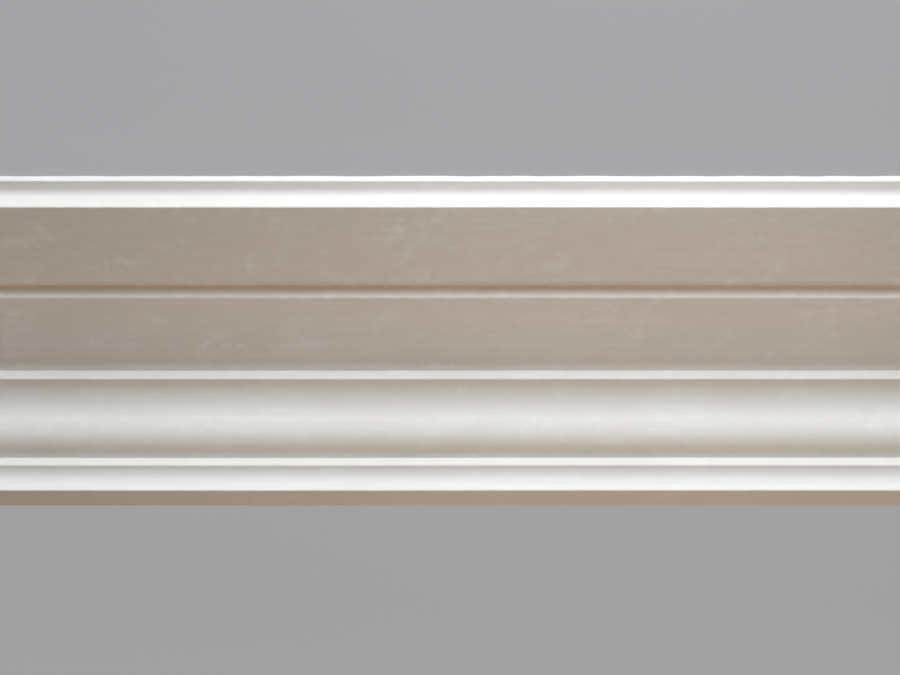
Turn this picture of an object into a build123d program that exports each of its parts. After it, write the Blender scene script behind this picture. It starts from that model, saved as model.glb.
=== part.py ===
from build123d import *
import math
import os

# One length of plaster cornice, in millimetres, lying on its ceiling side with its face up.
# The section is drawn in two distances, from the wall and from the ceiling, so the corner of
# the room is at zero and each seat lies on one of the two axes.

# The length as cast
stock_length = 2400.0

# Face, from the edge on the ceiling inwards to the foot on the wall
outer_fillet_height = 6.2
outer_ledge_width = 4.4
outer_ledge_rise = 1.2
outer_hollow_width = 5.5
outer_hollow_height = 13.2
outer_hollow_bend = 70.0
outer_soffit_width = 47.9
groove_width = 9.3
groove_depth = 2.9
inner_soffit_width = 47.0
upper_step_height = 9.8
ogee_width = 36.6
ogee_height = 28.9
lower_step_height = 8.5
lower_ledge_width = 1.9
lower_ledge_rise = 0.7
lower_hollow_width = 7.4
lower_hollow_height = 12.6
foot_width = 10.0

# Back: two bands struck flat to the ceiling with a shallow relief between them, a band struck
# flat to the wall, and a slope that joins them behind the ogee
outer_band_width = 38.0
inner_band_width = 20.0
relief_depth = 6.5
relief_side_width = 8.0
shell_thickness = 14.0

# Edges
arris_radius = 0.8
corner_radius = 0.6
back_edge_radius = 1.5

# Distances from the wall, working outwards
lower_ledge_wall = foot_width + lower_hollow_width
lower_step_wall = lower_ledge_wall + lower_ledge_width
ogee_middle = lower_step_wall + ogee_width / 2
upper_step_wall = lower_step_wall + ogee_width
groove_inner = upper_step_wall + inner_soffit_width
groove_outer = groove_inner + groove_width
soffit_outer = groove_outer + outer_soffit_width
outer_ledge_wall = soffit_outer + outer_hollow_width
projection = outer_ledge_wall + outer_ledge_width

# Distances from the ceiling, working down to the foot
outer_hollow_start = outer_fillet_height + outer_ledge_rise
soffit_drop = outer_hollow_start + outer_hollow_height
ogee_top = soffit_drop + upper_step_height
ogee_waist = ogee_top + ogee_height / 2
ogee_bottom = ogee_top + ogee_height
lower_ledge_start = ogee_bottom + lower_step_height
lower_hollow_top = lower_ledge_start + lower_ledge_rise
drop = lower_hollow_top + lower_hollow_height

# The outer hollow is struck from two centres. A tight arc carries on from the splayed ledge, and
# at the slope of the bend a slack arc takes over, which ends upright at the soffit.
ledge_slope = math.atan2(outer_ledge_rise, outer_ledge_width)
bend = math.radians(outer_hollow_bend)
tight_run = math.sin(bend) - math.sin(ledge_slope)
tight_rise = math.cos(ledge_slope) - math.cos(bend)
slack_run = 1 - math.sin(bend)
slack_rise = math.cos(bend)
tight_share = outer_hollow_width * slack_rise - outer_hollow_height * slack_run
tight_radius = tight_share / (tight_run * slack_rise - tight_rise * slack_run)
bend_wall = outer_ledge_wall - tight_radius * tight_run
bend_drop = outer_hollow_start + tight_radius * tight_rise

# The slope of the back runs with the straight line between the ogee's ends. It lies behind the
# deepest point of the ogee's hollow by the thickness of the shell.
ogee_chord = math.hypot(ogee_width, ogee_height)
ogee_radius = ogee_chord**2 / (4 * ogee_height)
hollow_depth = ogee_radius * (1 - ogee_width / ogee_chord)
slope_offset = (hollow_depth + shell_thickness) * ogee_chord
slope_level = ogee_height * upper_step_wall + ogee_width * ogee_top - slope_offset
wall_seat_top = slope_level / ogee_width
ceiling_seat_end = slope_level / ogee_height

# Where the two bands on the ceiling end, either side of the relief
inner_band_end = ceiling_seat_end + inner_band_width
outer_band_end = projection - outer_band_width


def face_line():
    """The moulded face, from the edge on the ceiling to the foot on the wall."""
    outer_fillet = Line((projection, 0), (projection, outer_fillet_height))
    outer_ledge = Line((projection, outer_fillet_height), (outer_ledge_wall, outer_hollow_start))
    tight_hollow = TangentArc(
        (outer_ledge_wall, outer_hollow_start),
        (bend_wall, bend_drop),
        tangent=(-outer_ledge_width, outer_ledge_rise),
    )
    slack_hollow = TangentArc(
        (soffit_outer, soffit_drop),
        (bend_wall, bend_drop),
        tangent=(0, -1),
    )
    outer_soffit = Line((soffit_outer, soffit_drop), (groove_outer, soffit_drop))
    groove = ThreePointArc(
        (groove_outer, soffit_drop),
        ((groove_outer + groove_inner) / 2, soffit_drop - groove_depth),
        (groove_inner, soffit_drop),
    )
    inner_soffit = Line((groove_inner, soffit_drop), (upper_step_wall, soffit_drop))
    upper_step = Line((upper_step_wall, soffit_drop), (upper_step_wall, ogee_top))
    ogee_hollow = TangentArc(
        (upper_step_wall, ogee_top),
        (ogee_middle, ogee_waist),
        tangent=(-1, 0),
    )
    ogee_round = TangentArc(
        (lower_step_wall, ogee_bottom),
        (ogee_middle, ogee_waist),
        tangent=(1, 0),
    )
    lower_step = Line((lower_step_wall, ogee_bottom), (lower_step_wall, lower_ledge_start))
    lower_ledge = Line((lower_step_wall, lower_ledge_start), (lower_ledge_wall, lower_hollow_top))
    lower_hollow = TangentArc(
        (foot_width, drop),
        (lower_ledge_wall, lower_hollow_top),
        tangent=(0, -1),
    )
    foot = Line((foot_width, drop), (0, drop))
    soffit = outer_soffit + groove + inner_soffit
    ogee = upper_step + ogee_hollow + ogee_round + lower_step
    edge = outer_fillet + outer_ledge + tight_hollow + slack_hollow
    return edge + soffit + ogee + lower_ledge + lower_hollow + foot


def back_line():
    """The hidden back, from the foot up the wall and out along the ceiling."""
    return Polyline(
        (0, drop),
        (0, wall_seat_top),
        (ceiling_seat_end, 0),
        (inner_band_end, 0),
        (inner_band_end + relief_side_width, relief_depth),
        (outer_band_end - relief_side_width, relief_depth),
        (outer_band_end, 0),
        (projection, 0),
    )


def eased(outline, points, radius):
    """The outline with its corners at these points rounded."""
    corners = [outline.vertices().sort_by_distance((*point, 0))[0] for point in points]
    return fillet(corners, radius)


def section():
    """The whole section, with its arrises and corners eased."""
    arrises = [
        (projection, outer_fillet_height),
        (soffit_outer, soffit_drop),
        (groove_outer, soffit_drop),
        (groove_inner, soffit_drop),
        (upper_step_wall, ogee_top),
        (lower_step_wall, lower_ledge_start),
        (foot_width, drop),
    ]
    corners = [
        (upper_step_wall, soffit_drop),
        (lower_step_wall, ogee_bottom),
        (lower_ledge_wall, lower_hollow_top),
    ]
    back_edges = [
        (0, wall_seat_top),
        (ceiling_seat_end, 0),
        (inner_band_end, 0),
        (outer_band_end, 0),
    ]
    outline = make_face(face_line() + back_line())
    outline = eased(outline, arrises, arris_radius)
    outline = eased(outline, corners, corner_radius)
    return eased(outline, back_edges, back_edge_radius)


# The wall is on the +Y side, and the ceiling is the plane that the length lies on
section_plane = Plane(
    origin=(stock_length / 2, projection / 2, 0),
    x_dir=(0, -1, 0),
    z_dir=(-1, 0, 0),
)
cornice = extrude(section_plane * section(), amount=stock_length)

os.makedirs("parts", exist_ok=True)
export_step(cornice, "parts/cornice.step")
print("projection", projection, "drop", drop, "wall seat", drop - wall_seat_top)
print("ceiling seat ends", ceiling_seat_end, "solids", len(cornice.solids()))
print("volume", cornice.volume, "valid", cornice.is_valid)
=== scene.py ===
"""A length of plaster cornice, lying on its ceiling side with its moulded face up.

Sizes are in metres. The wall is on the +Y side and the ceiling is the plane of the floor, so
a distance from the wall is measured along -Y and a distance from the ceiling along +Z.
"""

import math

import bmesh
import bpy
from bpy.props import FloatProperty, FloatVectorProperty, IntProperty, PointerProperty
from mathutils import Matrix, Vector, noise


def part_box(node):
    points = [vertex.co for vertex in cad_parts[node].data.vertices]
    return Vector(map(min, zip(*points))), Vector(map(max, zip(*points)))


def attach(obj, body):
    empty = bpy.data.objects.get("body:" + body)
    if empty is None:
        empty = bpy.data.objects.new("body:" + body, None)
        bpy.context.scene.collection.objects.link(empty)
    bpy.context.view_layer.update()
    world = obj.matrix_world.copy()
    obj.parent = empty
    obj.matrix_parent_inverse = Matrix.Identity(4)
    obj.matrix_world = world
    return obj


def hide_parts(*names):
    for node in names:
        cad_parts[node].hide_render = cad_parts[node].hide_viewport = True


bl_info = {
    "name": "Plaster cornice",
    "version": (1, 0, 0),
    "blender": (4, 5, 0),
    "location": "View3D > Sidebar > Cornice",
    "description": "Builds a length of plaster cornice with its finish, floor, lamps and camera",
    "category": "Object",
}

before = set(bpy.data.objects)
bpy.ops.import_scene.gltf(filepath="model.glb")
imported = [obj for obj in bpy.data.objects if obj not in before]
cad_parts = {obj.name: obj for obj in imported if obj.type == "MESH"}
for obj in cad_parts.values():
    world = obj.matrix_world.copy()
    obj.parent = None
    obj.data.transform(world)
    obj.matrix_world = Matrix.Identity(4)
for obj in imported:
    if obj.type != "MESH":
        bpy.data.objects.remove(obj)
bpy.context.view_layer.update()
NODE = "cornice"
BODY = "root"

LOW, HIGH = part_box(NODE)
LENGTH = HIGH.x - LOW.x
PROJECTION = HIGH.y - LOW.y
DROP = HIGH.z - LOW.z

ALONG = Vector((1, 0, 0))
UP = Vector((0, 0, 1))

# The photograph's frame, in pixels, and where the cornice lies in it
PHOTO_WIDTH = 900
PHOTO_HEIGHT = 675
STRIP_TOP = 176.0
STRIP_BOTTOM = 505.5


def length_property(name, description, default):
    """A size in metres, shown in the scene's unit."""
    return FloatProperty(
        name=name,
        description=description,
        default=default,
        min=0.0,
        precision=4,
        unit="LENGTH",
        subtype="DISTANCE",
    )


def colour_property(name, description, default):
    """A colour of a surface or a lamp."""
    return FloatVectorProperty(
        name=name,
        description=description,
        default=default,
        size=3,
        min=0.0,
        max=1.0,
        subtype="COLOR",
    )


def tint_property(name, description, default):
    """How much a tint raises or lowers the red, the green and the blue of a colour."""
    return FloatVectorProperty(
        name=name,
        description=description,
        default=default,
        size=3,
        min=0.5,
        max=1.1,
    )


def level_property(name, description, default):
    """A plain number with no unit."""
    return FloatProperty(name=name, description=description, default=default, min=0.0)


def count_property(name, description, default):
    """A number of steps."""
    return IntProperty(name=name, description=description, default=default, min=1)


def angle_property(name, description, degrees):
    """An angle, shown in the scene's unit."""
    return FloatProperty(
        name=name,
        description=description,
        default=math.radians(degrees),
        subtype="ANGLE",
        unit="ROTATION",
    )


class CorniceSizes(bpy.types.PropertyGroup):
    """Sizes of the section and of its mesh."""

    outer_fillet_height: length_property("Outer fillet", "Height of the ceiling edge", 0.0062)
    outer_ledge_width: length_property("Outer ledge", "From the fillet to its hollow", 0.0044)
    outer_ledge_rise: length_property("Outer ledge rise", "How far the ledge is splayed", 0.0012)
    outer_hollow_width: length_property("Outer hollow width", "How far it runs in", 0.0055)
    outer_hollow_height: length_property("Outer hollow height", "How far it runs down", 0.0132)
    outer_hollow_bend: angle_property("Outer hollow bend", "Slope where its slack arc starts", 70)
    groove_width: length_property("Groove width", "Width of the groove in the soffit", 0.0093)
    groove_depth: length_property("Groove depth", "Depth of the groove in the soffit", 0.0029)
    inner_soffit_width: length_property("Inner soffit", "From the groove to the step", 0.0470)
    upper_step_height: length_property("Upper step", "Height of the step over the ogee", 0.0098)
    ogee_width: length_property("Ogee width", "How far the ogee runs in", 0.0366)
    ogee_height: length_property("Ogee height", "How far the ogee runs down", 0.0289)
    lower_step_height: length_property("Lower step", "Height of the step under the ogee", 0.0085)
    lower_ledge_width: length_property("Lower ledge", "From the step to its hollow", 0.0019)
    lower_ledge_rise: length_property("Lower ledge rise", "How far the ledge is splayed", 0.0007)
    lower_hollow_width: length_property("Lower hollow width", "How far it runs in", 0.0074)
    foot_width: length_property("Foot", "Width of the foot on the wall", 0.0100)
    outer_band_width: length_property("Outer band", "Outer seat on the ceiling", 0.0380)
    inner_band_width: length_property("Inner band", "Inner seat on the ceiling", 0.0200)
    relief_depth: length_property("Relief depth", "Depth of the relief in the back", 0.0065)
    relief_side_width: length_property("Relief side", "Width of each sloped side", 0.0080)
    shell_thickness: length_property("Thickness", "Plaster behind the ogee's hollow", 0.0140)
    arris_radius: length_property("Arris", "Rounding of the moulded arrises", 0.0008)
    corner_radius: length_property("Corner", "Rounding of the inner corners", 0.0006)
    edge_radius: length_property("Edge", "Rounding of the two outermost edges", 0.0003)
    back_edge_radius: length_property("Back edge", "Rounding of the edges at the back", 0.0015)
    length_pitch: length_property("Length pitch", "Spacing of the rings along the length", 0.0075)
    section_pitch: length_property("Section pitch", "Spacing of the points on flats", 0.0050)
    arc_steps: count_property("Arc steps", "Steps in each curve", 12)
    bevel_steps: count_property("Bevel steps", "Steps in each arris", 4)


class CorniceFinish(bpy.types.PropertyGroup):
    """Colours of the plaster, with painted shade and painted light among them, and how uneven its
    surfaces are.
    """

    face_colour: colour_property("Face", "Moulded face", (0.865, 0.850, 0.825))
    stain_colour: colour_property("Stain", "Warmer clouds and lines", (0.818, 0.795, 0.756))
    mottle_colour: colour_property("Mottle", "Small soft spots", (0.790, 0.768, 0.722))
    # Pale clouds, and also painted light on the outer edge and the lower hollow
    pale_cloud_and_light_colour: colour_property("Bloom", "Paler clouds", (0.935, 0.933, 0.912))
    speck_colour: colour_property("Speck", "White specks", (0.95, 0.95, 0.95))
    # Painted shade inside the pinholes
    pinhole_shade_colour: colour_property("Pinhole", "Inside of the pinholes", (0.45, 0.42, 0.38))
    # Painted warm shade: a cream tint in the groove, on the outer ledge and by the upper step
    warm_shade_tint: tint_property("Cream", "Yellowed groove and corners", (1.05, 0.985, 0.915))
    # Painted shade: a darker, browner tint on the ogee's end by the lower step
    brown_shade_tint: tint_property("Dust", "Dusty plaster over the lower step", (0.95, 0.885, 0.815))
    back_colour: colour_property("Back", "Struck back and ends", (0.80, 0.78, 0.74))
    back_stain_colour: colour_property("Back stain", "Darker clouds", (0.71, 0.68, 0.63))
    seed: IntProperty(name="Seed", description="Picks how it wanders", default=581, min=1)
    wander: length_property("Wander", "How far the moulding wanders along its length", 0.00015)
    wander_length: length_property("Wander length", "Distance between two swings", 0.25)
    drift: length_property("Drift", "How far each arris strays on its own", 0.0002)
    drift_length: length_property("Drift length", "Along the length, for one such stray", 0.4)
    drift_width: length_property("Drift width", "Across the moulding, for one such stray", 0.03)
    face_unevenness: length_property("Face unevenness", "Height of the long waves", 0.00002)
    back_unevenness: length_property("Back unevenness", "Height of the lumps", 0.0006)
    lump_length: length_property("Lump length", "Size of the lumps on the back", 0.018)


class CorniceStage(bpy.types.PropertyGroup):
    """Floor, lamps and camera."""

    view_elevation: angle_property("View elevation", "Angle of the view over the floor", 64)
    view_distance: length_property("View distance", "From the camera to the cornice", 3.0)
    floor_size: length_property("Floor", "Side of the square floor", 80.0)
    floor_colour: colour_property("Floor colour", "Studio floor", (0.70, 0.70, 0.71))
    shadow_reach: length_property("Shadow reach", "How far from the cornice its shadow shows", 0.7)
    shadow_share: level_property("Shadow share", "Strength of the shadow on the floor", 0.15)
    backdrop_colour: colour_property("Backdrop", "Seen behind the floor", (0.37, 0.37, 0.381))
    near_colour: colour_property("Near colour", "Floor by the cornice", (0.3835, 0.387, 0.404))
    lamp_distance: length_property("Lamp distance", "Large lamps, from the cornice", 4.0)
    lamp_width: length_property("Lamp width", "Large lamps, along the cornice", 10.0)
    near_distance: length_property("Near lamp distance", "Small lamps, from the cornice", 0.5)
    near_width: length_property("Near lamp width", "Small lamps, along the cornice", 0.3)
    near_shift: length_property("Near lamp shift", "Small lamps, from the middle", 0.114)
    front_colour: colour_property("Front colour", "Lamps in front", (0.921, 0.955, 1.0))
    fill_colour: colour_property("Fill colour", "Lamps over the wall side", (1.0, 0.651, 0.374))
    back_colour: colour_property("Back colour", "Lamp behind", (1.0, 0.98, 0.95))
    low_level: level_property("Low", "Large lamp in front, low", 2.21)
    high_level: level_property("High", "Large lamp in front, higher up", 1.24)
    near_level: level_property("Near", "Small lamp in front", 5.1)
    fill_level: level_property("Fill", "Large lamp over the wall side", 1.21)
    near_fill_level: level_property("Near fill", "Small lamp over the wall side", 0.98)
    back_level: level_property("Back", "Lamp behind", 0.80)
    world_level: level_property("World", "Light from all round", 0.02)


def step_distances(sizes):
    """How far the lower and the upper step lie from the wall."""
    lower_step_wall = sizes.foot_width + sizes.lower_hollow_width + sizes.lower_ledge_width
    return lower_step_wall, lower_step_wall + sizes.ogee_width


def soffit_level(sizes):
    """How far the soffit lies from the ceiling."""
    return sizes.outer_fillet_height + sizes.outer_ledge_rise + sizes.outer_hollow_height


class Outline:
    """A line of edges in one plane across the length, drawn from point to point.

    A point is given as its distance from the wall and its distance from the ceiling.
    """

    def __init__(self, bm, wall_distance, ceiling_distance):
        self.bm = bm
        self.start = bm.verts.new(self.place(wall_distance, ceiling_distance))
        self.tip = self.start

    def place(self, wall_distance, ceiling_distance):
        """The point in the shared frame, at the first end of the length."""
        return Vector((LOW.x, HIGH.y - wall_distance, LOW.z + ceiling_distance))

    def straight(self, wall_distance, ceiling_distance, pitch):
        """Runs straight to the point, with vertices about the pitch apart."""
        end = self.place(wall_distance, ceiling_distance)
        way = end - self.tip.co
        count = max(1, round(way.length / pitch))
        for _ in range(count):
            made = bmesh.ops.extrude_vert_indiv(self.bm, verts=[self.tip])
            self.tip = made["verts"][0]
            bmesh.ops.translate(self.bm, verts=[self.tip], vec=way / count)
        return self.tip

    def arc(self, wall_distance, ceiling_distance, turn, steps):
        """Runs round to the point, turning by this angle on the way."""
        end = self.place(wall_distance, ceiling_distance)
        chord = end - self.tip.co
        to_centre = ALONG.cross(chord) / (2 * math.tan(turn / 2))
        made = bmesh.ops.spin(
            self.bm,
            geom=[self.tip],
            cent=self.tip.co + chord / 2 + to_centre,
            axis=ALONG,
            angle=turn,
            steps=steps,
            use_duplicate=False,
        )
        self.tip = next(item for item in made["geom_last"] if isinstance(item, bmesh.types.BMVert))
        return self.tip

    def close(self):
        """Joins the tip to the start and fills the outline with one face."""
        bmesh.ops.pointmerge(self.bm, verts=[self.start, self.tip], merge_co=self.start.co)
        return bmesh.ops.contextual_create(self.bm, geom=self.bm.edges[:])["faces"][0]


def draw_outer_hollow(outline, sizes, end_wall, end_drop):
    """Draws the splayed ledge and its hollow to this point, where the hollow ends upright.

    A tight arc carries on from the ledge. At the slope of the bend a slack arc takes over.
    """
    width = sizes.outer_hollow_width
    height = sizes.outer_hollow_height
    bend = sizes.outer_hollow_bend
    upright = math.pi / 2
    slope = math.atan2(sizes.outer_ledge_rise, sizes.outer_ledge_width)
    tight_run = math.sin(bend) - math.sin(slope)
    tight_rise = math.cos(slope) - math.cos(bend)
    slack_run = 1 - math.sin(bend)
    slack_rise = math.cos(bend)
    share = width * slack_rise - height * slack_run
    radius = share / (tight_run * slack_rise - tight_rise * slack_run)
    start_wall = end_wall + width
    start_drop = end_drop - height

    outline.straight(start_wall, start_drop, sizes.section_pitch)
    bend_wall = start_wall - radius * tight_run
    bend_drop = start_drop + radius * tight_rise
    outline.arc(bend_wall, bend_drop, bend - slope, sizes.arc_steps)
    return outline.arc(end_wall, end_drop, upright - bend, sizes.arc_steps)


def draw_face(outline, sizes):
    """Draws the moulded face, and returns its arrises and its inner corners."""
    steps = sizes.arc_steps
    pitch = sizes.section_pitch
    lower_ledge_wall = sizes.foot_width + sizes.lower_hollow_width
    lower_step_wall, upper_step_wall = step_distances(sizes)
    ogee_middle = lower_step_wall + sizes.ogee_width / 2
    groove_inner = upper_step_wall + sizes.inner_soffit_width
    groove_outer = groove_inner + sizes.groove_width
    soffit_outer = PROJECTION - sizes.outer_ledge_width - sizes.outer_hollow_width
    soffit_drop = soffit_level(sizes)
    ogee_top = soffit_drop + sizes.upper_step_height
    ogee_waist = ogee_top + sizes.ogee_height / 2
    ogee_bottom = ogee_top + sizes.ogee_height
    lower_ledge_start = ogee_bottom + sizes.lower_step_height
    lower_hollow_top = lower_ledge_start + sizes.lower_ledge_rise
    lower_hollow_height = DROP - lower_hollow_top
    groove_turn = 4 * math.atan2(2 * sizes.groove_depth, sizes.groove_width)
    ogee_turn = 2 * math.atan2(sizes.ogee_height, sizes.ogee_width)
    lower_turn = 2 * math.atan2(sizes.lower_hollow_width, lower_hollow_height)

    arrises = []
    corners = []
    arrises.append(outline.straight(PROJECTION, sizes.outer_fillet_height, pitch))
    arrises.append(draw_outer_hollow(outline, sizes, soffit_outer, soffit_drop))
    arrises.append(outline.straight(groove_outer, soffit_drop, pitch))
    arrises.append(outline.arc(groove_inner, soffit_drop, groove_turn, steps))
    corners.append(outline.straight(upper_step_wall, soffit_drop, pitch))
    arrises.append(outline.straight(upper_step_wall, ogee_top, pitch))
    outline.arc(ogee_middle, ogee_waist, ogee_turn, steps)
    corners.append(outline.arc(lower_step_wall, ogee_bottom, -ogee_turn, steps))
    arrises.append(outline.straight(lower_step_wall, lower_ledge_start, pitch))
    corners.append(outline.straight(lower_ledge_wall, lower_hollow_top, pitch))
    arrises.append(outline.arc(sizes.foot_width, DROP, lower_turn, steps))
    return arrises, corners


def draw_back(outline, sizes):
    """Draws the seats on the wall and the ceiling, and returns their edges.

    The slope between them runs with the ogee, behind its hollow by the shell's thickness.
    """
    pitch = sizes.section_pitch
    upper_step_wall = step_distances(sizes)[1]
    ogee_top = soffit_level(sizes) + sizes.upper_step_height
    chord = math.hypot(sizes.ogee_width, sizes.ogee_height)
    radius = chord**2 / (4 * sizes.ogee_height)
    hollow_depth = radius * (1 - sizes.ogee_width / chord)
    slope_offset = (hollow_depth + sizes.shell_thickness) * chord
    slope_level = sizes.ogee_height * upper_step_wall + sizes.ogee_width * ogee_top - slope_offset
    wall_seat_top = slope_level / sizes.ogee_width
    ceiling_seat_end = slope_level / sizes.ogee_height
    inner_band_end = ceiling_seat_end + sizes.inner_band_width
    outer_band_end = PROJECTION - sizes.outer_band_width
    side = sizes.relief_side_width

    edges = [
        outline.straight(0, wall_seat_top, pitch),
        outline.straight(ceiling_seat_end, 0, pitch),
        outline.straight(inner_band_end, 0, pitch),
    ]
    outline.straight(inner_band_end + side, sizes.relief_depth, pitch)
    outline.straight(outer_band_end - side, sizes.relief_depth, pitch)
    edges.append(outline.straight(outer_band_end, 0, pitch))
    outline.straight(PROJECTION, 0, pitch)
    return edges


def round_off(bm, corners, radius, steps):
    """Rounds these corners of a flat face."""
    bmesh.ops.bevel(
        bm,
        geom=corners,
        offset=radius,
        offset_type="OFFSET",
        segments=steps,
        profile=0.5,
        affect="VERTICES",
        clamp_overlap=True,
        material=-1,
    )


def extrude_length(bm, pitch):
    """Extrudes the section along the whole length and divides it into rings."""
    made = bmesh.ops.extrude_face_region(bm, geom=bm.faces[:])
    moved = [item for item in made["geom"] if isinstance(item, bmesh.types.BMVert)]
    bmesh.ops.translate(bm, verts=moved, vec=ALONG * LENGTH)
    long_edges = [edge for edge in bm.edges if edge.calc_length() > LENGTH / 2]
    cuts = round(LENGTH / pitch) - 1
    bmesh.ops.subdivide_edges(bm, edges=long_edges, cuts=cuts, use_grid_fill=True)


def is_back(normal):
    """Whether a surface with this normal was struck or left rough, not moulded."""
    leaning = 0.1
    square = 0.9
    return normal.z < -leaning or normal.y > square


def is_end(normal):
    """Whether a surface with this normal is one of the two ends."""
    square = 0.9
    return abs(normal.x) > square


def unevenness(place, scale, height):
    """Smooth bumps and dips of about this height."""
    roughness = 0.8
    lacunarity = 2.0
    octaves = 4
    return noise.fractal(place / scale, roughness, lacunarity, octaves) * height


def keep_ends_sharp(bm):
    """Keeps the shading of the ends apart from the shading along the length."""
    for edge in bm.edges:
        ends = [is_end(face.normal) for face in edge.link_faces]
        edge.smooth = all(ends) or not any(ends)


def make_uneven(bm, finish):
    """Lets the moulding wander and makes the back lumpy. The ends stay flat."""
    bm.normal_update()
    noise.seed_set(finish.seed)
    touching = 1e-5
    moves = {}
    for vert in bm.verts:
        if vert.co.z < LOW.z + touching or vert.co.y > HIGH.y - touching:
            continue
        normals = [face.normal for face in vert.link_faces if not is_end(face.normal)]
        outward = sum(normals, Vector()).normalized()
        if all(is_back(normal) for normal in normals):
            lump = unevenness(vert.co, finish.lump_length, finish.back_unevenness)
            moves[vert] = outward * lump
        else:
            swing = noise.noise_vector(ALONG * (vert.co.x / finish.wander_length)) * finish.wander
            across = vert.co / finish.drift_width
            across.x = vert.co.x / finish.drift_length
            drift = noise.noise_vector(across) * finish.drift
            wave = unevenness(vert.co, finish.wander_length, finish.face_unevenness)
            moves[vert] = Vector((0, swing.y + drift.y, swing.z)) + outward * wave
    for vert, move in moves.items():
        vert.co += move
        vert.co.y = min(max(vert.co.y, LOW.y), HIGH.y)
        vert.co.z = min(max(vert.co.z, LOW.z), HIGH.z)


def cornice_mesh(sizes, finish):
    """The whole length as one closed mesh, with a material index for face and for back."""
    bm = bmesh.new()
    outline = Outline(bm, PROJECTION, 0)
    arrises, corners = draw_face(outline, sizes)
    foot_edge = outline.straight(0, DROP, sizes.section_pitch)
    back_edges = draw_back(outline, sizes)
    outline.close()
    round_off(bm, arrises, sizes.arris_radius, sizes.bevel_steps)
    round_off(bm, corners, sizes.corner_radius, sizes.bevel_steps)
    round_off(bm, back_edges, sizes.back_edge_radius, sizes.bevel_steps)
    round_off(bm, [foot_edge, outline.start], sizes.edge_radius, sizes.bevel_steps)
    extrude_length(bm, sizes.length_pitch)
    bmesh.ops.recalc_face_normals(bm, faces=bm.faces)
    keep_ends_sharp(bm)
    for face in bm.faces:
        face.material_index = int(is_back(face.normal) or is_end(face.normal))
        face.smooth = True
    make_uneven(bm, finish)
    mesh = bpy.data.meshes.new("plaster_cornice")
    bm.to_mesh(mesh)
    bm.free()
    return mesh


class Nodes:
    """Adds shader nodes to a material or a world and joins them up."""

    def __init__(self, owner):
        owner.use_nodes = True
        self.tree = owner.node_tree
        self.tree.nodes.clear()

    def feed(self, socket, value):
        """Feeds a socket with another node's socket, or with a plain value."""
        if isinstance(value, bpy.types.NodeSocket):
            self.tree.links.new(value, socket)
        elif socket.type == "RGBA" and len(value) == 3:
            socket.default_value = (*value, 1.0)
        else:
            socket.default_value = value

    def add(self, kind, settings=None, **inputs):
        """Adds a node. An input is a value or another node's socket."""
        node = self.tree.nodes.new(kind)
        for name, value in (settings or {}).items():
            setattr(node, name, value)
        for name, value in inputs.items():
            self.feed(node.inputs[name.replace("_", " ")], value)
        return node

    def math(self, operation, first, second):
        """One step of arithmetic on two numbers."""
        node = self.add("ShaderNodeMath", {"operation": operation})
        self.feed(node.inputs[0], first)
        self.feed(node.inputs[1], second)
        return node.outputs[0]

    def place(self, stretch=(1.0, 1.0, 1.0)):
        """The object's own coordinates, in metres, stretched along each axis."""
        coordinates = self.tree.nodes.new("ShaderNodeTexCoord").outputs["Object"]
        return self.add("ShaderNodeMapping", Vector=coordinates, Scale=stretch).outputs[0]

    def noise(self, place, size, detail, roughness):
        """Cloudy noise, from 0 to 1, with clouds of about this size in metres."""
        node = self.add(
            "ShaderNodeTexNoise",
            Vector=place,
            Scale=1.0 / size,
            Detail=detail,
            Roughness=roughness,
        )
        return node.outputs["Fac"]

    def step(self, value, low, high, to_low=0.0, to_high=1.0):
        """Brings the stretch from low to high onto another, smoothly, and clamps it."""
        node = self.add(
            "ShaderNodeMapRange",
            {"interpolation_type": "SMOOTHSTEP"},
            Value=value,
            From_Min=low,
            From_Max=high,
            To_Min=to_low,
            To_Max=to_high,
        )
        return node.outputs["Result"]

    def band(self, value, start, full, fading, end, share=1.0):
        """Rises to this share from start to full, and falls again from fading to end."""
        risen = self.step(value, start, full)
        return self.math("MULTIPLY", risen, self.step(value, fading, end, share, 0.0))

    def dots(self, place, spacing, radius, share):
        """Small round dots, 1 inside, on some of the cells of this spacing."""
        cells = self.add("ShaderNodeTexVoronoi", Vector=place, Scale=1.0 / spacing)
        inside = self.step(cells.outputs["Distance"], 0.0, radius / spacing, 1.0, 0.0)
        chosen = self.add("ShaderNodeSeparateColor", Color=cells.outputs["Color"]).outputs["Red"]
        return self.math("MULTIPLY", inside, self.math("LESS_THAN", chosen, share))

    def mix(self, share, first, second):
        """A colour between two, by a share from 0 to 1."""
        node = self.add("ShaderNodeMix", {"data_type": "RGBA"})
        factor, first_colour, second_colour, result = 0, 6, 7, 2
        self.feed(node.inputs[factor], share)
        self.feed(node.inputs[first_colour], first)
        self.feed(node.inputs[second_colour], second)
        return node.outputs[result]

    def tint(self, share, colour, tint):
        """A colour with this share of a tint on it."""
        tinted = self.add("ShaderNodeVectorMath", {"operation": "MULTIPLY"})
        self.feed(tinted.inputs[0], colour)
        self.feed(tinted.inputs[1], tint)
        return self.mix(share, colour, tinted.outputs[0])

    def seen(self):
        """Share of the plain colour: all of it where the camera, a mirror or glass shows it."""
        path = self.add("ShaderNodeLightPath").outputs
        mirrored = self.math("MAXIMUM", path["Is Camera Ray"], path["Is Glossy Ray"])
        return self.math("MAXIMUM", mirrored, path["Is Transmission Ray"])

    def blend(self, share, first, second):
        """A shader between two, by a share from 0 to 1."""
        mixed = self.add("ShaderNodeMixShader", Fac=share)
        self.feed(mixed.inputs[1], first.outputs[0])
        self.feed(mixed.inputs[2], second.outputs[0])
        return mixed

    def bump(self, height, depth, normal=None):
        """Relief of this depth in metres."""
        node = self.add("ShaderNodeBump", Strength=1.0, Distance=depth, Height=height)
        if normal is not None:
            self.feed(node.inputs["Normal"], normal)
        return node.outputs["Normal"]

    def surface(self, shader, kind="ShaderNodeOutputMaterial"):
        """Makes this shader the result of the material or the world."""
        self.add(kind, Surface=shader.outputs[0])


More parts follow.
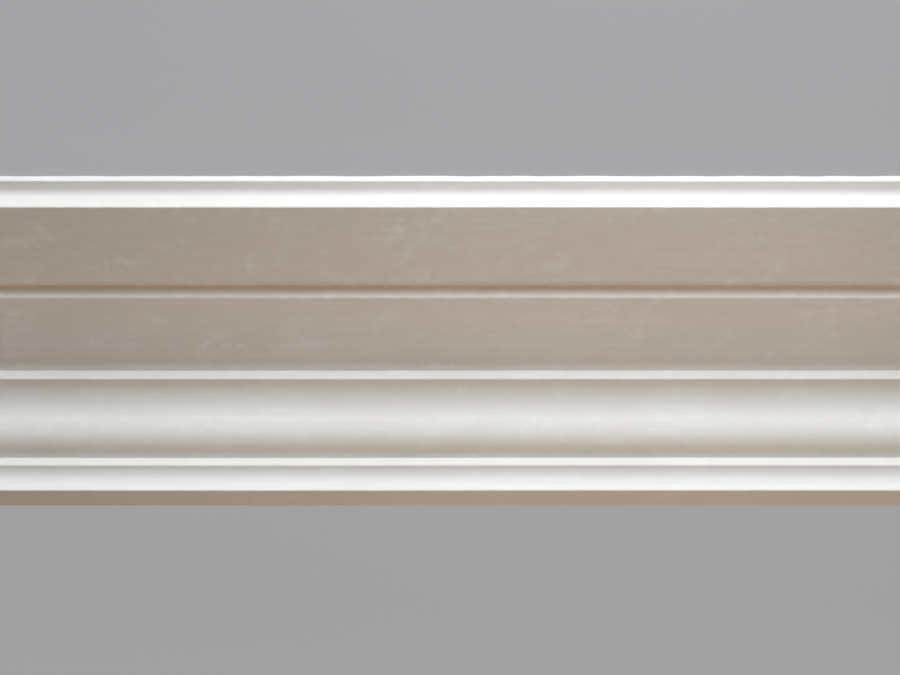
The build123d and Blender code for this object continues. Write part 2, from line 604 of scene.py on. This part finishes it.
def paint_lit_paleness(nodes, to_wall, sizes):
    """Share of painted light: a paler colour where the outer edge and the lower hollow face the
    lamps.
    """
    lower_step = HIGH.y - step_distances(sizes)[0]
    from_edge = nodes.math("SUBTRACT", to_wall, LOW.y)
    from_step = nodes.math("SUBTRACT", to_wall, lower_step)
    outer_edge = nodes.step(from_edge, low=0.0095, high=0.0102, to_low=0.45, to_high=0.0)
    lower_hollow = nodes.band(from_step, start=0.0045, full=0.0065, fading=0.0085, end=0.0093)
    return nodes.math("MAXIMUM", outer_edge, lower_hollow)


def paint_warm_shade(nodes, colour, to_wall, sizes, finish):
    """The colour with painted warm shade: a cream tint beside the upper step, in the groove and on
    the outer ledge, and a browner, darker tint on the ogee's end by the lower step.
    """
    lower_step, upper_step = (HIGH.y - distance for distance in step_distances(sizes))
    groove_inner = upper_step - sizes.inner_soffit_width
    from_edge = nodes.math("SUBTRACT", to_wall, LOW.y)
    from_groove = nodes.math("SUBTRACT", to_wall, groove_inner)
    from_upper = nodes.math("SUBTRACT", to_wall, upper_step)
    from_lower = nodes.math("SUBTRACT", to_wall, lower_step)

    # Where each band starts, is full, starts to fade and ends, in metres, then its share
    soffit_corner = nodes.band(from_upper, -0.020, -0.003, -0.001, -0.0006)
    ogee_start = nodes.band(from_upper, 0.0008, 0.0014, 0.006, 0.014, share=0.75)
    outer_ledge = nodes.band(from_edge, 0.0004, 0.0008, 0.004, 0.008, share=0.5)
    groove_side = nodes.band(from_groove, -0.0058, -0.0036, -0.0009, -0.0001, share=0.75)
    ogee_end = nodes.band(from_lower, -0.014, -0.007, -0.004, -0.001)

    # Painted warm shade, then painted brown shade on the ogee's end
    for share in (soffit_corner, ogee_start, outer_ledge, groove_side):
        colour = nodes.tint(share, colour, finish.warm_shade_tint)
    return nodes.tint(ogee_end, colour, finish.brown_shade_tint)


def face_material(sizes, finish):
    """Smooth plaster as it comes off a mould: faint clouds, drawn lines, specks and pinholes, with
    painted shade in the pinholes, painted warm shade by the steps and in the groove, and painted
    light on the outer edge and the lower hollow.
    """
    material = bpy.data.materials.new("plaster_face")
    nodes = Nodes(material)
    plain = nodes.place()
    dabbed = nodes.place((0.8, 1.0, 1.0))
    stretched = nodes.place((0.55, 1.0, 1.0))
    dragged = nodes.place((0.06, 1.0, 1.0))
    drawn = nodes.place((0.003, 1.0, 1.0))
    to_wall = nodes.add("ShaderNodeSeparateXYZ", Vector=plain).outputs["Y"]

    clouds = nodes.noise(stretched, size=0.036, detail=4.0, roughness=0.6)
    mottle = nodes.noise(stretched, size=0.0045, detail=5.0, roughness=0.65)
    dabs = nodes.noise(dabbed, size=0.0060, detail=5.0, roughness=0.7)
    regions = nodes.noise(stretched, size=0.022, detail=4.0, roughness=0.65)
    drag = nodes.noise(dragged, size=0.0022, detail=3.0, roughness=0.6)
    lines = nodes.noise(drawn, size=0.0050, detail=6.0, roughness=0.75)
    grain = nodes.noise(plain, size=0.0008, detail=2.0, roughness=0.6)
    specks = nodes.dots(plain, spacing=0.008, radius=0.0007, share=0.15)
    pinholes = nodes.dots(plain, spacing=0.010, radius=0.0006, share=0.06)

    # The bloom and the spots fade towards the wall
    settled = nodes.step(to_wall, -0.04, 0.05, to_low=1.0, to_high=0.5)
    pale_cloud_and_light = nodes.math("MULTIPLY", nodes.step(dabs, 0.42, 0.62), nodes.step(regions, 0.47, 0.66))
    pale_cloud_and_light = nodes.math("MULTIPLY", pale_cloud_and_light, settled)
    # Painted light: paler where the outer edge and the lower hollow face the lamps
    pale_cloud_and_light = nodes.math("MAXIMUM", pale_cloud_and_light, paint_lit_paleness(nodes, to_wall, sizes))
    spots = nodes.math("MULTIPLY", nodes.step(mottle, 0.35, 0.65, to_high=0.75), settled)
    dragging = nodes.step(drag, 0.35, 0.65, to_high=0.35)
    drawing = nodes.step(lines, 0.35, 0.65, to_high=0.45)
    # Painted shade: the pinholes darkened inside
    speck_share = nodes.math("MULTIPLY", specks, 0.9)
    pinhole_shade_share = nodes.math("MULTIPLY", pinholes, 0.5)

    colour = nodes.mix(nodes.step(clouds, 0.35, 0.65), finish.face_colour, finish.stain_colour)
    colour = nodes.mix(spots, colour, finish.mottle_colour)
    colour = nodes.mix(pale_cloud_and_light, colour, finish.pale_cloud_and_light_colour)
    colour = nodes.mix(dragging, colour, finish.mottle_colour)
    colour = nodes.mix(drawing, colour, finish.mottle_colour)
    # Painted warm shade by the steps, in the groove and on the outer ledge
    colour = paint_warm_shade(nodes, colour, to_wall, sizes, finish)
    colour = nodes.mix(speck_share, colour, finish.speck_colour)
    colour = nodes.mix(pinhole_shade_share, colour, finish.pinhole_shade_colour)

    relief = nodes.bump(drag, depth=0.0000008)
    relief = nodes.bump(lines, depth=0.000001, normal=relief)
    relief = nodes.bump(grain, depth=0.000004, normal=relief)
    relief = nodes.bump(pinholes, depth=-0.0002, normal=relief)
    relief = nodes.bump(specks, depth=0.00005, normal=relief)
    shader = nodes.add(
        "ShaderNodeBsdfPrincipled",
        Base_Color=colour,
        Roughness=nodes.step(clouds, 0.3, 0.7, to_low=0.74, to_high=0.86),
        Specular_IOR_Level=0.2,
        Normal=relief,
    )
    nodes.surface(shader)
    return material


def back_material(finish):
    """Plaster that was struck off or left rough at the back, with lumps and pinholes."""
    material = bpy.data.materials.new("plaster_back")
    nodes = Nodes(material)
    plain = nodes.place()
    drawn = nodes.place((0.1, 1.0, 1.0))

    clouds = nodes.noise(plain, size=0.050, detail=5.0, roughness=0.6)
    lumps = nodes.noise(plain, size=0.006, detail=5.0, roughness=0.65)
    grain = nodes.noise(plain, size=0.0009, detail=3.0, roughness=0.7)
    drag = nodes.noise(drawn, size=0.004, detail=4.0, roughness=0.6)
    pinholes = nodes.dots(plain, spacing=0.009, radius=0.0009, share=0.35)

    stained = nodes.step(clouds, 0.3, 0.7)
    lumpy = nodes.step(lumps, 0.35, 0.65, to_high=0.4)
    # Painted shade: the pinholes darkened inside
    pinhole_shade_share = nodes.math("MULTIPLY", pinholes, 0.6)
    colour = nodes.mix(stained, finish.back_colour, finish.back_stain_colour)
    colour = nodes.mix(lumpy, colour, finish.back_colour)
    colour = nodes.mix(pinhole_shade_share, colour, finish.pinhole_shade_colour)

    relief = nodes.bump(lumps, depth=0.0006)
    relief = nodes.bump(drag, depth=0.0002, normal=relief)
    relief = nodes.bump(grain, depth=0.00006, normal=relief)
    relief = nodes.bump(pinholes, depth=-0.0006, normal=relief)
    shader = nodes.add(
        "ShaderNodeBsdfPrincipled",
        Base_Color=colour,
        Roughness=0.92,
        Specular_IOR_Level=0.2,
        Normal=relief,
    )
    nodes.surface(shader)
    return material


def floor_material(stage):
    """Pale matt floor, seen at its plain colour away from the cornice and its shadow."""
    material = bpy.data.materials.new("studio_floor")
    nodes = Nodes(material)
    matt = nodes.add("ShaderNodeBsdfDiffuse", Color=stage.floor_colour)

    # The shadow shows in full near the cornice, and fades out at the end of its reach
    reach = stage.shadow_reach
    full = 0.3
    around = nodes.place((1.0 / (LENGTH / 2 + reach), 1.0 / reach, 0.0))
    distance = nodes.add("ShaderNodeVectorMath", {"operation": "LENGTH"}, Vector=around)
    away = nodes.step(distance.outputs["Value"], full, 1.0)
    colour = nodes.mix(away, stage.near_colour, stage.backdrop_colour)
    plain = nodes.add("ShaderNodeEmission", Color=colour, Strength=1.0)
    shadow = nodes.math("MULTIPLY", nodes.math("SUBTRACT", 1.0, away), stage.shadow_share)
    plainness = nodes.math("SUBTRACT", 1.0, shadow)
    nodes.surface(nodes.blend(nodes.math("MULTIPLY", plainness, nodes.seen()), matt, plain))
    return material


def add_floor(stage):
    """A square floor at the level that the cornice lies on."""
    bm = bmesh.new()
    bmesh.ops.create_grid(bm, x_segments=1, y_segments=1, size=stage.floor_size / 2)
    bmesh.ops.translate(bm, verts=bm.verts, vec=UP * LOW.z)
    mesh = bpy.data.meshes.new("studio_floor")
    bm.to_mesh(mesh)
    bm.free()
    mesh.materials.append(floor_material(stage))
    floor = bpy.data.objects.new("studio_floor", mesh)
    floor.visible_shadow = False
    bpy.context.scene.collection.objects.link(floor)


def add_softbox(name, place, aim, width, height, level, colour):
    """A soft rectangular lamp at a place, turned to what it aims at."""
    area = width * height
    light = bpy.data.lights.new(name, "AREA")
    light.shape = "RECTANGLE"
    light.size = width
    light.size_y = height
    light.energy = math.pi * area * level
    light.color = colour
    light.cycles.use_multiple_importance_sampling = False
    lamp = bpy.data.objects.new(name, light)
    lamp.location = place
    lamp.rotation_euler = (Vector(aim) - Vector(place)).to_track_quat("-Z", "Y").to_euler()
    lamp.visible_camera = False
    bpy.context.scene.collection.objects.link(lamp)


def add_arc_lamp(name, low, high, distance, width, level, colour, shift=0.0):
    """A softbox that covers these elevations, in degrees from the floor on the ceiling side.

    Over 90 it stands behind the wall side, and under 0 it shines up through the floor.
    """
    middle = math.radians((low + high) / 2)
    height = 2 * distance * math.tan(math.radians((high - low) / 2))
    place = Vector((shift, -math.cos(middle) * distance, math.sin(middle) * distance))
    add_softbox(name, place, ALONG * shift, width, height, level, colour)


def add_lamps(stage):
    """Cool light from low in front, a warm fill from over the wall side and a lamp behind."""
    far = stage.lamp_distance
    wide = stage.lamp_width
    near = stage.near_distance
    narrow = stage.near_width
    shift = -stage.near_shift
    cool = stage.front_colour
    warm = stage.fill_colour
    add_arc_lamp("front_low", -22, 15, far, wide, stage.low_level, cool)
    add_arc_lamp("front_high", 15, 38, far, wide, stage.high_level, cool)
    add_arc_lamp("front_near", 14, 32, near, narrow, stage.near_level, cool, shift)
    add_arc_lamp("fill", 125, 145, far, wide, stage.fill_level, warm)
    add_arc_lamp("fill_near", 100, 140, near, narrow, stage.near_fill_level, warm, shift)
    add_arc_lamp("back", 165, 200, far, wide, stage.back_level, stage.back_colour)


def add_world(stage):
    """A weak even light, and the grey backdrop where the camera sees past the floor."""
    world = bpy.data.worlds.new("studio")
    bpy.context.scene.world = world
    nodes = Nodes(world)
    white = (1.0, 1.0, 1.0)
    ambient = nodes.add("ShaderNodeBackground", Color=white, Strength=stage.world_level)
    backdrop = nodes.add("ShaderNodeBackground", Color=stage.backdrop_colour, Strength=1.0)
    nodes.surface(nodes.blend(nodes.seen(), ambient, backdrop), "ShaderNodeOutputWorld")


def add_camera(stage):
    """A camera over the outer edge, looking down on the face, with the ceiling edge at the top."""
    elevation = stage.view_elevation
    up = Vector((0, -math.sin(elevation), -math.cos(elevation)))
    back = Vector((0, -math.cos(elevation), math.sin(elevation)))
    right = up.cross(back)
    ceiling_edge = Vector((0, LOW.y, LOW.z))
    foot_edge = Vector((0, HIGH.y, HIGH.z))
    pixel = (ceiling_edge - foot_edge).dot(up) / (STRIP_BOTTOM - STRIP_TOP)
    strip_middle = (STRIP_TOP + STRIP_BOTTOM) / 2
    target = (ceiling_edge + foot_edge) / 2 + up * (strip_middle - PHOTO_HEIGHT / 2) * pixel
    place = target + back * stage.view_distance

    data = bpy.data.cameras.new("camera")
    data.lens = data.sensor_width * stage.view_distance / (PHOTO_WIDTH * pixel)
    data.clip_end = stage.floor_size
    camera = bpy.data.objects.new("camera", data)
    turn = Matrix((right, up, back)).transposed().to_4x4()
    camera.matrix_world = Matrix.Translation(place) @ turn
    bpy.context.scene.collection.objects.link(camera)
    bpy.context.scene.camera = camera


class CORNICE_OT_length(bpy.types.Operator):
    """Build the length of cornice with its plaster finish"""

    bl_idname = "cornice.length"
    bl_label = "Cornice"

    def execute(self, context):
        """Build the mesh, give it its finish and say what it stands for."""
        sizes = context.scene.cornice_sizes
        finish = context.scene.cornice_finish
        mesh = cornice_mesh(sizes, finish)
        mesh.materials.append(face_material(sizes, finish))
        mesh.materials.append(back_material(finish))
        piece = bpy.data.objects.new("plaster_cornice", mesh)
        context.scene.collection.objects.link(piece)
        weighted = piece.modifiers.new("flat_faces", "WEIGHTED_NORMAL")
        weighted.keep_sharp = True
        weighted.weight = 100
        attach(piece, BODY)
        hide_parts(NODE)
        return {"FINISHED"}


class CORNICE_OT_stage(bpy.types.Operator):
    """Set up the floor, the lamps and the camera"""

    bl_idname = "cornice.stage"
    bl_label = "Stage"

    def execute(self, context):
        """Add the floor, the lamps, the world and the camera."""
        stage = context.scene.cornice_stage
        add_floor(stage)
        add_lamps(stage)
        add_world(stage)
        add_camera(stage)
        context.scene.view_settings.view_transform = "Standard"
        return {"FINISHED"}


class CORNICE_PT_panel(bpy.types.Panel):
    """Buttons that build the cornice and its stage."""

    bl_idname = "CORNICE_PT_panel"
    bl_label = "Plaster cornice"
    bl_space_type = "VIEW_3D"
    bl_region_type = "UI"
    bl_category = "Cornice"

    def draw(self, context):
        """Lists one button for each operator."""
        for operator in OPERATORS:
            self.layout.operator(operator.bl_idname)


OPERATORS = (CORNICE_OT_length, CORNICE_OT_stage)
GROUPS = {
    "cornice_sizes": CorniceSizes,
    "cornice_finish": CorniceFinish,
    "cornice_stage": CorniceStage,
}
CLASSES = (*GROUPS.values(), *OPERATORS, CORNICE_PT_panel)


def register():
    """Registers the classes and puts the properties on the scene."""
    for item in CLASSES:
        bpy.utils.register_class(item)
    for name, group in GROUPS.items():
        setattr(bpy.types.Scene, name, PointerProperty(type=group))


def unregister():
    """Takes the properties off the scene and the classes out again."""
    for name in GROUPS:
        delattr(bpy.types.Scene, name)
    for item in reversed(CLASSES):
        bpy.utils.unregister_class(item)


def main():
    """Builds the cornice and its stage."""
    register()
    bpy.ops.cornice.length()
    bpy.ops.cornice.stage()


if __name__ == "__main__":
    main()
